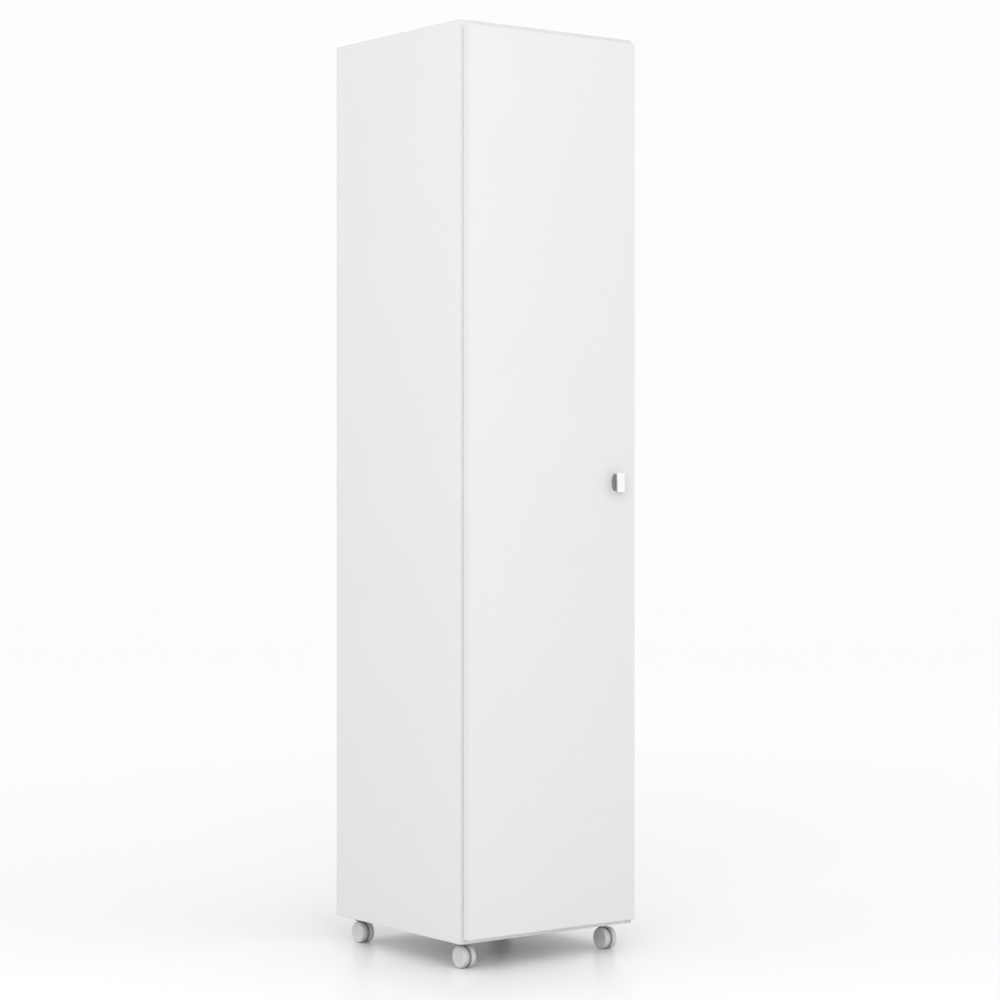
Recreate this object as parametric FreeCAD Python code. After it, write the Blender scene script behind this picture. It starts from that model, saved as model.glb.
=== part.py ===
import FreeCAD, Part
import math
import os

# A tall broom cupboard in white melamine-faced board, on four twin-wheel castors, with one
# overlay door on three concealed hinges. Millimetres. X runs to the right, Y to the back and
# Z up, with the origin on the floor under the middle of the cupboard's bounding box.

# Driving dimensions of the carcass
width = 400.0               # over both side panels
height = 1720.0             # floor to the top of the carcass
board = 15.0                # thickness of all boards
board_depth = 404.0         # side panels, front to back
back_thickness = 3.0        # hardboard
back_edge = 2.0             # the back stops short of the carcass's outline
edge_radius = 0.4           # softened board edges
shelf_height = 1350.0       # underside of the fixed shelf above the carcass's underside
shelf_setback = 5.0
rail_height = 80.0          # hook rail under the shelf

# The door and its knob
door_gap = 2.0              # between the door and the carcass
door_side_reveal = 6.0      # carcass edge left bare beside the door
door_end_reveal = 9.0       # and above and below it
knob_width = 17.5
knob_height = 36.5
knob_plate = 4.0
knob_stem_depth = 16.0
# Ovals of the waisted stem: share of its depth from the plate, width and height
knob_ovals = [(0.0, 13.0, 32.0), (0.45, 11.0, 31.0), (1.0, 15.0, 33.0)]
knob_edge_radius = 0.6
knob_from_edge = 48.5       # knob's centre to the door's free edge
knob_drop = 1.5             # and below the door's middle
knob_screw_radius = 2.0
knob_thread = 10.0          # screw's length inside the knob
pad_radius = 4.0
pad_thickness = 1.7
pad_from_end = 59.0
pad_from_side = 5.0

# Panel joints: cam locks in the boards, cam bolts and dowels in the side panels
cam_radius = 7.4
cam_height = 12.0
cam_from_end = 24.0
cam_from_edge = 76.0        # cam's centre from the board's front and back edges
bolt_radius = 2.4
bolt_head_radius = 3.3
bolt_head_length = 3.0
bolt_room = 0.3             # bore round the bolt's head
bolt_depth = 10.5
dowel_radius = 4.0
dowel_in_side = 10.0
dowel_in_board = 19.0
dowel_from_edge = 108.0
rail_cam_rise = 15.0        # rail's cam above the rail's middle
rail_dowel_drop = 32.0      # rail's dowel below its cam

# Back panels, the strip that joins them, and their nails
strip_flange = 1.0
strip_width = 14.0
nail_head_radius = 2.0
nail_head_height = 0.5
nail_radius = 0.7
nail_length = 16.0
nails_per_side = 12
first_nail = 60.0           # lowest side nail above the carcass's underside
side_nail_pitch = 141.0
cross_nails = (-120.0, 0.0, 120.0)

# Castors
castor_height = 50.0        # floor to the underside of the carcass
wheel_radius = 20.0
wheel_width = 10.0
wheel_gap = 7.5
wheel_cheek = 3.0           # rounding of the wheel's outer edge
wheel_edge = 0.8            # and of its inner edge
wheel_rim = 3.5             # wall left round the recess in the wheel's inner face
wheel_recess = 4.5
wheel_hub_radius = 6.0
wheel_bore_depth = 7.0
axle_radius = 2.5
trail = 9.0                 # from the swivel axis to the axle, which lies to the front at rest
castor_inset_x = 35.0       # swivel axis from the carcass's side
castor_inset_front = 45.0   # from the carcass's front
castor_inset_rear = 32.0    # and from its back
plate_size = 38.0
plate_thickness = 2.0
plate_corner = 4.0
cap_radius = 11.0           # round cap that turns under the plate
cap_edge = 1.5
cap_low = 2 * wheel_radius + 1.0
cap_gap = 0.4               # between the cap and the plate
pin_radius = 3.0            # kingpin, fixed to the plate, with a head held inside the cap
pin_head_radius = 5.0
pin_head_height = 1.6
pin_head_rise = 1.0         # head above the cap's underside
body_gap = 0.6              # between the body and each wheel
body_radius = 16.5          # round body between the wheels
neck_half = 8.0             # neck from the body up to the cap
castor_screw_inset = 5.0    # screw from the plate's edges
castor_screw_radius = 1.75
castor_screw_length = 11.0  # in the board

# Concealed hinges
hinge_from_end = 101.0      # outer hinges' centres from the door's top and bottom edges
cup_radius = 17.4
cup_depth = 11.4
cup_wall = 0.7
cup_edge = 2.0
cup_offset = 19.5           # cup's centre from the door's hinge edge
flange_thickness = 1.0
flange_half = 31.0
flange_span = (-1.0, 11.5)  # flange's wings, from the cup's centre
flange_corner = 5.0
cup_screw_pitch = 48.0
cup_screw_offset = 5.5
cup_screw_radius = 1.75
cup_screw_depth = 10.0
wing_half = 23.0            # mounting plate on the side panel
wing_width = 13.0
wing_corner = 6.0
wing_thickness = 2.0
plate_from_front = 37.0     # mounting plate's screws behind the carcass's front
plate_screw_pitch = 32.0
plate_screw_radius = 1.75
plate_screw_depth = 11.0
block_half = 6.0            # block of the mounting plate, inside the arm
block_span = (21.0, 58.0)
# Places on a hinge are given from the carcass's outer left face and front plane.
outer_rivet = (20.5, -7.5)
inner_rivet = (23.0, -3.0)
rivet_radius = 1.2
arm_web = (24.4, 26.0)
arm_low = 17.5
arm_length = 60.0
arm_cheek_start = -1.0
arm_web_start = 6.0
arm_front = [(25.6, -4.0), (26.0, 1.0)]
arm_nose_radius = 2.5
arm_cheek = (6.4, 8.0)      # cheek's faces above and below the hinge's middle
adjuster_places = (28.0, 50.0)
adjuster_radius = 2.0
adjuster_length = 7.0
# Each link turns about a rivet in the arm's nose: its length, its direction with the door
# shut, how far its middle bows, and half its thickness.
outer_length, outer_angle, outer_bow, outer_half = 17.5, 1.0, 1.2, 1.7
inner_length, inner_angle, inner_bow, inner_half = 15.0, -30.0, 2.2, 1.6
link_eye_radius = 2.2
outer_cheek = (4.4, 6.1)
outer_end_radius = 2.0
cup_bar_radius = 1.4        # bar between the outer link's cheeks, in the cup
inner_width = 8.2
inner_end_radius = 1.9

# Broom hooks
hook_places = (-110.0, 0.0, 110.0)
hook_drop = 6.0             # plate's centre below the rail's middle
hook_plate_width = 16.0
hook_plate_height = 40.0
hook_plate_thickness = 3.0
hook_plate_corner = 6.0
prong_drop = 8.0            # prong below the plate's centre
hook_reach = 22.0
hook_bend = 7.0
hook_wire = 2.6
hook_tip = 9.0
hook_ball = 3.4
hook_screw_places = (-15.5, 12.0)
hook_screw_radius = 1.6
hook_screw_depth = 11.0

running = 0.06              # radial room of a shaft that turns in a hole
snug = 0.05                 # room round a fitting that doesn't turn
relief = 0.5                # depth left free under a shank or fitting
over = 1.0                  # how far a cutting tool runs past a face

# Positions
half_width = width / 2
inner_x = half_width - board
knob_projection = knob_plate + knob_stem_depth
half_depth = (knob_projection + board + door_gap + board_depth + back_thickness + strip_flange) / 2
door_front = -half_depth + knob_projection
door_back = door_front + board
carcass_front = door_back + door_gap
boards_back = carcass_front + board_depth
back_outer = boards_back + back_thickness
base = castor_height
middle_z = (base + height) / 2
shelf_z = base + shelf_height
rail_front = boards_back - board
rail_z = shelf_z - rail_height / 2
door_left = -half_width + door_side_reveal
door_right = half_width - door_side_reveal
door_bottom = base + door_end_reveal
door_top = height - door_end_reveal
knob_x = door_right - knob_from_edge
knob_z = middle_z - knob_drop
hinge_heights = {"lower": door_bottom + hinge_from_end, "middle": middle_z,
                 "upper": door_top - hinge_from_end}
cup_x = door_left + cup_offset
castor_x = half_width - castor_inset_x
castor_front = carcass_front + castor_inset_front
castor_rear = back_outer - castor_inset_rear
castors = {"front_left": (-castor_x, castor_front), "front_right": (castor_x, castor_front),
           "rear_left": (-castor_x, castor_rear), "rear_right": (castor_x, castor_rear)}
axle_z = wheel_radius
cap_top = castor_height - plate_thickness - cap_gap
pin_head_low = cap_low + pin_head_rise

parts = {}
board_holes = {"bottom_panel": [], "top_panel": [], "fixed_shelf": [], "hook_rail": []}
side_holes = {-1: [], 1: []}
door_holes = []


# Shape helpers
def vector(x, y, z):
    return FreeCAD.Vector(x, y, z)


def box(x0, x1, y0, y1, z0, z1):
    return Part.makeBox(x1 - x0, y1 - y0, z1 - z0, vector(x0, y0, z0))


def rod(radius, start, end):
    """A round bar between two points."""
    start = vector(*start)
    direction = vector(*end) - start
    return Part.makeCylinder(radius, direction.Length, start, direction)


def cut(shape, tools):
    return shape.cut(Part.makeCompound(tools))


def fuse(shapes):
    return shapes[0].multiFuse(shapes[1:]).removeSplitter()


def rounded_board(x0, x1, y0, y1, z0, z1):
    shape = box(x0, x1, y0, y1, z0, z1)
    return shape.makeFillet(edge_radius, shape.Edges)


def rounded_edges(shape, radius, chosen):
    return shape.makeFillet(radius, [edge for edge in shape.Edges if chosen(edge)])


def rounded_corners(shape, radius, thickness):
    """Rounds the short edges of a plate, those that run through its thickness."""
    return rounded_edges(shape, radius, lambda edge: edge.BoundBox.DiagonalLength < thickness + 0.01)


def screw(head_radius, head_height, shank_radius, seat, tip):
    """A pan head with a cross recess, standing on the seat, and a shank from seat to tip."""
    seat, tip = vector(*seat), vector(*tip)
    head = Part.makeCylinder(head_radius, head_height)
    head = rounded_edges(head, 0.4 * head_height, lambda edge: edge.CenterOfMass.z > 0.99 * head_height)
    reach, half_slot = 0.6 * head_radius, 0.35
    recess = [box(-reach, reach, -half_slot, half_slot, head_height / 2, head_height + over),
              box(-half_slot, half_slot, -reach, reach, head_height / 2, head_height + over)]
    shank = Part.makeCylinder(shank_radius, (seat - tip).Length, vector(0, 0, 0), vector(0, 0, -1))
    shape = fuse([cut(head, recess), shank])
    shape.Placement = FreeCAD.Placement(seat, FreeCAD.Rotation(vector(0, 0, 1), seat - tip))
    return shape


def hole_for(radius, seat, tip):
    """The hole for a round fitting, from outside its seat to a little beyond its tip."""
    seat, tip = vector(*seat), vector(*tip)
    along = (tip - seat).normalize()
    return rod(radius + snug, seat - along * over, tip + along * relief)


# Panel joints
cam_locks, cam_bolts, dowels = [], [], []


def add_cam(name, side, underside, seat, y, z):
    """A cam lock between two points, and its bolt across the joint on the line at y and z."""
    x = side * (inner_x - cam_from_end)
    joint, deep = (side * inner_x, y, z), (side * (inner_x + bolt_depth), y, z)
    shank = rod(bolt_radius, deep, (x, y, z))
    cam_bolts.append(fuse([shank, rod(bolt_head_radius, (x + side * bolt_head_length, y, z), (x, y, z))]))
    bore = rod(bolt_head_radius + bolt_room, joint, (x - side * over, y, z))
    cam_locks.append(rod(cam_radius, underside, seat).cut(bore))
    board_holes[name] += [bore, hole_for(cam_radius, underside, seat)]
    side_holes[side].append(hole_for(bolt_radius, joint, deep))


def add_dowel(name, side, y, z):
    ends = side * (inner_x + dowel_in_side), side * (inner_x - dowel_in_board)
    dowels.append(rod(dowel_radius, (ends[0], y, z), (ends[1], y, z)))
    hole = rod(dowel_radius + snug, (ends[0] + side * relief, y, z), (ends[1] - side * relief, y, z))
    board_holes[name].append(hole)
    side_holes[side].append(hole)


for side in (-1, 1):
    x = side * (inner_x - cam_from_end)
    for name, low in (("bottom_panel", base), ("top_panel", height - board), ("fixed_shelf", shelf_z)):
        for y in (carcass_front + cam_from_edge, boards_back - cam_from_edge):
            add_cam(name, side, (x, y, low), (x, y, low + cam_height), y, low + board / 2)
        for y in (carcass_front + dowel_from_edge, boards_back - dowel_from_edge):
            add_dowel(name, side, y, low + board / 2)
    y, z = rail_front + board / 2, rail_z + rail_cam_rise
    add_cam("hook_rail", side, (x, rail_front, z), (x, rail_front + cam_height, z), y, z)
    add_dowel("hook_rail", side, y, z - rail_dowel_drop)

parts["cam_locks"] = Part.makeCompound(cam_locks)
parts["cam_bolts"] = Part.makeCompound(cam_bolts)
parts["dowels"] = Part.makeCompound(dowels)

# Back panels
nail_places = [(side * (half_width - board / 2), base + first_nail + i * side_nail_pitch)
               for side in (-1, 1) for i in range(nails_per_side)]
nail_places += [(x, z) for z in (base + board / 2, shelf_z + board / 2, height - board / 2)
                for x in cross_nails]
nails, nail_holes = [], []
for x, z in nail_places:
    seat, tip = (x, back_outer, z), (x, back_outer - nail_length, z)
    head = rod(nail_head_radius, seat, (x, back_outer + nail_head_height, z))
    nails.append(head.fuse(rod(nail_radius, seat, tip)))
    nail_holes.append(hole_for(nail_radius, seat, tip))
parts["back_nails"] = Part.makeCompound(nails)

back_x = half_width - back_edge
half_web = strip_flange / 2
for name, low, high in (("back_panel_lower", base + back_edge, middle_z - half_web),
                        ("back_panel_upper", middle_z + half_web, height - back_edge)):
    panel = box(-back_x, back_x, boards_back, back_outer, low, high)
    parts[name] = cut(panel, nail_holes)

strip_low, strip_high = middle_z - strip_width / 2, middle_z + strip_width / 2
inner_end = inner_x - relief
parts["back_joint_strip"] = fuse([
    box(-inner_end, inner_end, boards_back - strip_flange, boards_back, strip_low, strip_high),
    box(-back_x, back_x, boards_back, back_outer, middle_z - half_web, middle_z + half_web),
    box(-back_x, back_x, back_outer, back_outer + strip_flange, strip_low, strip_high)])


# Castors
def castor_plate(x, y):
    """The square fixing plate with its kingpin."""
    half, under = plate_size / 2, castor_height - plate_thickness
    shape = box(x - half, x + half, y - half, y + half, under, castor_height)
    shape = rounded_corners(shape, plate_corner, plate_thickness)
    pin = rod(pin_radius, (x, y, under), (x, y, pin_head_low))
    head = rod(pin_head_radius, (x, y, pin_head_low), (x, y, pin_head_low + pin_head_height))
    return fuse([shape, pin, head])


def castor_housing(x, y):
    """The swivel cap over the wheels, with a round body between them that carries the axle."""
    cap = rod(cap_radius, (x, y, cap_low), (x, y, cap_top))
    cap = rounded_edges(cap, cap_edge, lambda edge: abs(edge.CenterOfMass.z - cap_top) < 0.01)
    axle_y = y - trail
    half_body = wheel_gap / 2 - body_gap
    body = rod(body_radius, (x - half_body, axle_y, axle_z), (x + half_body, axle_y, axle_z))
    neck = box(x - half_body, x + half_body, y - neck_half, y + neck_half, axle_z, cap_low + over)
    pin_hole = rod(pin_radius + running, (x, y, pin_head_low), (x, y, cap_top + over))
    head_room = rod(pin_head_radius + running, (x, y, pin_head_low - 0.1),
                    (x, y, pin_head_low + pin_head_height + 0.1))
    axle_hole = rod(axle_radius + snug, (x - half_body - over, axle_y, axle_z),
                    (x + half_body + over, axle_y, axle_z))
    return cut(fuse([cap, body, neck]), [fuse([pin_hole, head_room]), axle_hole])


def castor_wheel(x, y, side):
    """A moulded wheel: a plain round-edged disc outside, and a hollow round the hub inside."""
    inside = x + side * wheel_gap / 2
    outside = inside + side * wheel_width
    wheel = rod(wheel_radius, (inside, y, axle_z), (outside, y, axle_z))
    for face_x, radius in ((outside, wheel_cheek), (inside, wheel_edge)):
        wheel = rounded_edges(wheel, radius, lambda edge: abs(edge.CenterOfMass.x - face_x) < 0.01)
    recess = rod(wheel_radius - wheel_rim, (inside - side * over, y, axle_z),
                 (inside + side * wheel_recess, y, axle_z))
    hub = rod(wheel_hub_radius, (inside - side * 2 * over, y, axle_z), (outside, y, axle_z))
    bore = rod(axle_radius + running, (inside - side * over, y, axle_z),
               (inside + side * wheel_bore_depth, y, axle_z))
    return cut(wheel, [recess.cut(hub), bore])


castor_screws = []
for place, (x, y) in castors.items():
    axle_y = y - trail
    spread = plate_size / 2 - castor_screw_inset
    holes = []
    for dx in (-spread, spread):
        for dy in (-spread, spread):
            seat = (x + dx, y + dy, castor_height - plate_thickness)
            tip = (x + dx, y + dy, castor_height + castor_screw_length)
            castor_screws.append(screw(3.3, 1.8, castor_screw_radius, seat, tip))
            holes.append(hole_for(castor_screw_radius, seat, tip))
    parts["castor_plate_" + place] = cut(castor_plate(x, y), holes)
    board_holes["bottom_panel"] += holes
    parts["castor_housing_" + place] = castor_housing(x, y)
    axle_end = wheel_gap / 2 + wheel_bore_depth - 0.3
    parts["castor_axle_" + place] = rod(axle_radius, (x - axle_end, axle_y, axle_z),
                                        (x + axle_end, axle_y, axle_z))
    for hand, side in (("left", -1), ("right", 1)):
        parts["wheel_" + place + "_" + hand] = castor_wheel(x, axle_y, side)
parts["castor_screws"] = Part.makeCompound(castor_screws)


# Concealed hinges
def hinge_point(place, z):
    return vector(-half_width + place[0], carcass_front + place[1], z)


def hinge_points(places, z):
    return [hinge_point(place, z) for place in places]


def polar(place, radius, degrees):
    angle = math.radians(degrees)
    return place[0] + radius * math.cos(angle), place[1] + radius * math.sin(angle)


def prism(edges, low, high):
    face = Part.Face(Part.Wire(edges))
    return face.extrude(vector(0, 0, high - low))


def rivet(place, low, high, radius):
    return Part.makeCylinder(radius, high - low, hinge_point(place, low))


def bowed_bar(start, length, degrees, bow, half, low, high):
    """A flat bar between two rivet places, bowed to its left side, with round ends."""
    end = polar(start, length, degrees)
    radius = (length * length / 4 + bow * bow) / (2 * bow)
    centre = polar(polar(start, length / 2, degrees), radius - bow, degrees - 90)
    first, last = (math.degrees(math.atan2(y - centre[1], x - centre[0])) for x, y in (start, end))
    angles = (first, degrees + 90, last)
    outside, inside = (hinge_points([polar(centre, bend, angle) for angle in angles], low)
                       for bend in (radius + half, radius - half))
    cap_start, cap_end = hinge_points([polar(start, half, first + 90), polar(end, half, last - 90)], low)
    edges = [Part.Arc(*outside), Part.Arc(outside[2], cap_end, inside[2]),
             Part.Arc(*inside[::-1]), Part.Arc(inside[0], cap_start, outside[0])]
    return prism([edge.toShape() for edge in edges], low, high), end


def hinge_outer_link(z):
    """Two bowed cheeks, joined by the round bar that lies in the cup."""
    near, far = outer_cheek
    pieces = []
    for low, high in ((z + near, z + far), (z - far, z - near)):
        bar, end = bowed_bar(outer_rivet, outer_length, outer_angle, outer_bow, outer_half, low, high)
        eye, tip = (outer_rivet, link_eye_radius), (end, outer_end_radius)
        pieces += [bar] + [rivet(place, low, high, radius) for place, radius in (eye, tip)]
    pieces.append(rivet(end, z - far, z + far, cup_bar_radius))
    return fuse(pieces).cut(rivet(outer_rivet, z - far - over, z + far + over, rivet_radius + running))


def hinge_inner_link(z):
    low, high = z - inner_width / 2, z + inner_width / 2
    bar, end = bowed_bar(inner_rivet, inner_length, inner_angle, inner_bow, inner_half, low, high)
    pieces = [bar, rivet(inner_rivet, low, high, link_eye_radius), rivet(end, low, high, inner_end_radius)]
    return fuse(pieces).cut(rivet(inner_rivet, low - over, high + over, rivet_radius + running))


def hinge_rivets(z):
    """One rivet through the arm for the inner link, and a stub in each cheek for the outer link."""
    near, far = outer_cheek[0], arm_cheek[1]
    return [rivet(inner_rivet, z - far, z + far, rivet_radius),
            rivet(outer_rivet, z + near, z + far, rivet_radius),
            rivet(outer_rivet, z - far, z - near, rivet_radius)]


def adjuster_tools(radius, start, end, z):
    """Round tools across the arm at the two adjusting screws."""
    return [rod(radius, (-half_width + start, carcass_front + depth, z),
                (-half_width + end, carcass_front + depth, z)) for depth in adjuster_places]


def hinge_arm(z):
    """A pressed channel: two cheeks that reach into the cup, and a web with the adjusters."""
    nose = [polar(outer_rivet, arm_nose_radius, angle) for angle in (180, 250, 325)]
    behind = [(arm_web[1], arm_length), (arm_low, arm_length), (arm_low, arm_cheek_start)]
    near, far = arm_cheek
    pieces = []
    for low, high in ((z + near, z + far), (z - far, z - near)):
        back_path = hinge_points(behind + nose[:1], low)
        front_path = hinge_points(nose[2:] + arm_front + behind[:1], low)
        edges = [Part.makeLine(a, b) for a, b in zip(back_path, back_path[1:])]
        edges.append(Part.Arc(*hinge_points(nose, low)).toShape())
        edges += [Part.makeLine(a, b) for a, b in zip(front_path, front_path[1:])]
        pieces.append(prism(edges, low, high))
    pieces.append(box(-half_width + arm_web[0], -half_width + arm_web[1], carcass_front + arm_web_start,
                      carcass_front + arm_length, z - far, z + far))
    holes = [rivet(place, z - far - over, z + far + over, rivet_radius + snug)
             for place in (outer_rivet, inner_rivet)]
    holes += adjuster_tools(adjuster_radius + 0.3, arm_web[0] - over, arm_web[1] + over, z)
    return cut(fuse(pieces), holes)


def plate_screw(z, side):
    """Seat and tip of a mounting plate's screw."""
    y, screw_z = carcass_front + plate_from_front, z + side * plate_screw_pitch / 2
    return (-inner_x + wing_thickness, y, screw_z), (-inner_x - plate_screw_depth, y, screw_z)


def cup_screw(z, side):
    """Seat and tip of a cup's screw."""
    x, screw_z = cup_x + cup_screw_offset, z + side * cup_screw_pitch / 2
    return (x, door_back + flange_thickness, screw_z), (x, door_back - cup_screw_depth, screw_z)


def hinge_plate(z):
    """The cross-shaped mounting plate on the side panel, with a block inside the arm."""
    span = [carcass_front + depth for depth in block_span]
    wing_y = carcass_front + plate_from_front
    wing = box(-inner_x, -inner_x + wing_thickness, wing_y - wing_width / 2, wing_y + wing_width / 2,
               z - wing_half, z + wing_half)
    wing = rounded_corners(wing, wing_corner, wing_thickness)
    foot = box(-inner_x, -inner_x + wing_thickness, *span, z - arm_cheek[1], z + arm_cheek[1])
    block = box(-inner_x, -half_width + arm_web[0], *span, z - block_half, z + block_half)
    holes = adjuster_tools(adjuster_radius + snug, arm_web[0] - 6.0, arm_web[0] + over, z)
    holes += [hole_for(plate_screw_radius, *plate_screw(z, side)) for side in (-1, 1)]
    return cut(fuse([wing, foot, block]), holes)


def hinge_cup(z):
    """A pressed steel cup with a flange for two screws, cut straight on the hinge side."""
    mouth, floor, rim = door_back, door_back - cup_depth, door_back + flange_thickness
    shell = rod(cup_radius, (cup_x, mouth, z), (cup_x, floor, z))
    shell = rounded_edges(shell, cup_edge, lambda edge: abs(edge.CenterOfMass.y - floor) < 0.01)
    disc = rod(cup_radius + 1.0, (cup_x, mouth, z), (cup_x, rim, z))
    wing = box(cup_x + flange_span[0], cup_x + flange_span[1], mouth, rim, z - flange_half, z + flange_half)
    wing = rounded_corners(wing, flange_corner, flange_thickness)
    hollow = rod(cup_radius - cup_wall, (cup_x, rim + over, z), (cup_x, floor + cup_wall, z))
    trim = box(door_left, cup_x - cup_radius, mouth - 0.01, rim + over, z - flange_half, z + flange_half)
    holes = [hole_for(cup_screw_radius, *cup_screw(z, side)) for side in (-1, 1)]
    return cut(fuse([shell, disc, wing]), [hollow, trim] + holes)


cup_screws, plate_screws, adjusters, rivets = [], [], [], []
for place, z in hinge_heights.items():
    parts["hinge_cup_" + place] = hinge_cup(z)
    parts["hinge_arm_" + place] = hinge_arm(z)
    parts["hinge_plate_" + place] = hinge_plate(z)
    parts["hinge_outer_link_" + place] = hinge_outer_link(z)
    parts["hinge_inner_link_" + place] = hinge_inner_link(z)
    rivets += hinge_rivets(z)
    pocket_end = door_back - cup_depth - 0.2
    door_holes.append(rod(cup_radius + snug, (cup_x, door_back + over, z), (cup_x, pocket_end, z)))
    for side in (-1, 1):
        cup_screws.append(screw(3.6, 1.4, cup_screw_radius, *cup_screw(z, side)))
        plate_screws.append(screw(3.3, 1.6, plate_screw_radius, *plate_screw(z, side)))
        door_holes.append(hole_for(cup_screw_radius, *cup_screw(z, side)))
        side_holes[-1].append(hole_for(plate_screw_radius, *plate_screw(z, side)))
    for depth in adjuster_places:
        seat_x, y = -half_width + arm_web[1], carcass_front + depth
        adjusters.append(screw(3.4, 1.8, adjuster_radius, (seat_x, y, z), (seat_x - adjuster_length, y, z)))
parts["hinge_rivets"] = Part.makeCompound(rivets)
parts["hinge_cup_screws"] = Part.makeCompound(cup_screws)
parts["hinge_plate_screws"] = Part.makeCompound(plate_screws)
parts["hinge_adjusting_screws"] = Part.makeCompound(adjusters)


# Door, knob and pads
def knob_oval(y, width, height):
    """An upright oval across the knob's axis."""
    oval = Part.Ellipse(vector(0, 0, 0), height / 2, width / 2).toShape()
    oval.rotate(vector(0, 0, 0), vector(0, 1, 0), 90)
    oval.rotate(vector(0, 0, 0), vector(0, 0, 1), 90)
    oval.translate(vector(knob_x, y, knob_z))
    return Part.Wire([oval])


def knob():
    """An oblong plate on a waisted oval stem, cast in one."""
    front = door_front - knob_projection
    plate_back = front + knob_plate
    plate = box(knob_x - knob_width / 2, knob_x + knob_width / 2, front, plate_back,
                knob_z - knob_height / 2, knob_z + knob_height / 2)
    plate = plate.makeFillet(knob_edge_radius, plate.Edges)
    stem = Part.makeLoft([knob_oval(plate_back + share * knob_stem_depth, width, height)
                          for share, width, height in knob_ovals], True)
    thread = hole_for(knob_screw_radius, (knob_x, door_front, knob_z),
                      (knob_x, door_front - knob_thread, knob_z))
    return fuse([plate, stem]).cut(thread)


parts["knob"] = knob()
parts["knob_screw"] = screw(4.0, 2.4, knob_screw_radius, (knob_x, door_back, knob_z),
                            (knob_x, door_front - knob_thread, knob_z))
door_holes.append(rod(knob_screw_radius + 0.2, (knob_x, door_back + over, knob_z),
                      (knob_x, door_front - over, knob_z)))
door = rounded_board(door_left, door_right, door_front, door_back, door_bottom, door_top)
parts["door_panel"] = cut(door, door_holes)

pads = []
for z in (door_bottom + pad_from_end, door_top - pad_from_end):
    x = door_right - pad_from_side
    pad = rod(pad_radius, (x, door_back, z), (x, door_back + pad_thickness, z))
    pads.append(rounded_edges(pad, 0.6, lambda edge: edge.CenterOfMass.y > door_back + over))
parts["door_pads"] = Part.makeCompound(pads)


# Broom hooks
def hook(x):
    """A pressed plate with a round prong that runs out, turns up and ends in a ball."""
    face, centre_z = rail_front - hook_plate_thickness, rail_z - hook_drop
    plate = box(x - hook_plate_width / 2, x + hook_plate_width / 2, face, rail_front,
                centre_z - hook_plate_height / 2, centre_z + hook_plate_height / 2)
    plate = rounded_corners(plate, hook_plate_corner, hook_plate_thickness)
    prong_z = centre_z - prong_drop
    tip_y = face - hook_reach
    bend_y, bend_z = tip_y + hook_bend, prong_z + hook_bend
    top = (x, tip_y, bend_z + hook_tip)
    prong = rod(hook_wire, (x, face + over, prong_z), (x, bend_y, prong_z))
    ring = Part.makeTorus(hook_bend, hook_wire, vector(x, bend_y, bend_z), vector(1, 0, 0))
    quarter = ring.common(box(x - hook_bend, x + hook_bend, tip_y - hook_bend, bend_y,
                              prong_z - hook_bend, bend_z))
    tip = rod(hook_wire, (x, tip_y, bend_z), top)
    return fuse([plate, prong, quarter, tip, Part.makeSphere(hook_ball, vector(*top))])


hooks, hook_screws = [], []
for x in hook_places:
    holes = []
    for rise in hook_screw_places:
        z = rail_z - hook_drop + rise
        seat, tip = (x, rail_front - hook_plate_thickness, z), (x, rail_front + hook_screw_depth, z)
        hook_screws.append(screw(3.0, 1.5, hook_screw_radius, seat, tip))
        holes.append(hole_for(hook_screw_radius, seat, tip))
    hooks.append(cut(hook(x), holes))
    board_holes["hook_rail"] += holes
parts["broom_hooks"] = Part.makeCompound(hooks)
parts["hook_screws"] = Part.makeCompound(hook_screws)

# Carcass boards
for name, front, low in (("bottom_panel", carcass_front, base), ("top_panel", carcass_front, height - board),
                         ("fixed_shelf", carcass_front + shelf_setback, shelf_z)):
    panel = rounded_board(-inner_x, inner_x, front, boards_back, low, low + board)
    parts[name] = cut(panel, board_holes[name] + nail_holes)
rail = rounded_board(-inner_x, inner_x, rail_front, boards_back, shelf_z - rail_height, shelf_z)
parts["hook_rail"] = cut(rail, board_holes["hook_rail"])
for name, side in (("side_panel_left", -1), ("side_panel_right", 1)):
    low, high = sorted((side * inner_x, side * half_width))
    panel = rounded_board(low, high, carcass_front, boards_back, base, height)
    parts[name] = cut(panel, side_holes[side] + nail_holes)

os.makedirs("parts", exist_ok=True)
for name, shape in parts.items():
    assert shape.isValid(), name
    shape.exportStep("parts/" + name + ".step")
print(len(parts), "parts written")
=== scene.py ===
import bpy
import math
from mathutils import Matrix, Vector


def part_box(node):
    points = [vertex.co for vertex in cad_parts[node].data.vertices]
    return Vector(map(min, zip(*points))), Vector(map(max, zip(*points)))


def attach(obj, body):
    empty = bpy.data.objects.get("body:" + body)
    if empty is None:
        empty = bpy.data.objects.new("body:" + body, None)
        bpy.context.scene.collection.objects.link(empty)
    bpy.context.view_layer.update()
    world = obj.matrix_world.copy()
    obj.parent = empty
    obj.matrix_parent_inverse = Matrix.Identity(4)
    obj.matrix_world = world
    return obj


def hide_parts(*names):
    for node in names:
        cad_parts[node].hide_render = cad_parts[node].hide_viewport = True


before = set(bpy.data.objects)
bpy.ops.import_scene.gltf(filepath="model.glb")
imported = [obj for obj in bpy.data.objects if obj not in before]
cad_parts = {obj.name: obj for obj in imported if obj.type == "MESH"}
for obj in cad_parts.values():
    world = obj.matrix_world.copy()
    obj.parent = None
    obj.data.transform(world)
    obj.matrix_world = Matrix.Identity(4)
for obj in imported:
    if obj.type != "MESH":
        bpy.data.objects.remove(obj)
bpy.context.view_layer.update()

castorPlaces = ("front_left", "front_right", "rear_left", "rear_right")
hingePlaces = ("lower", "middle", "upper")

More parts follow.
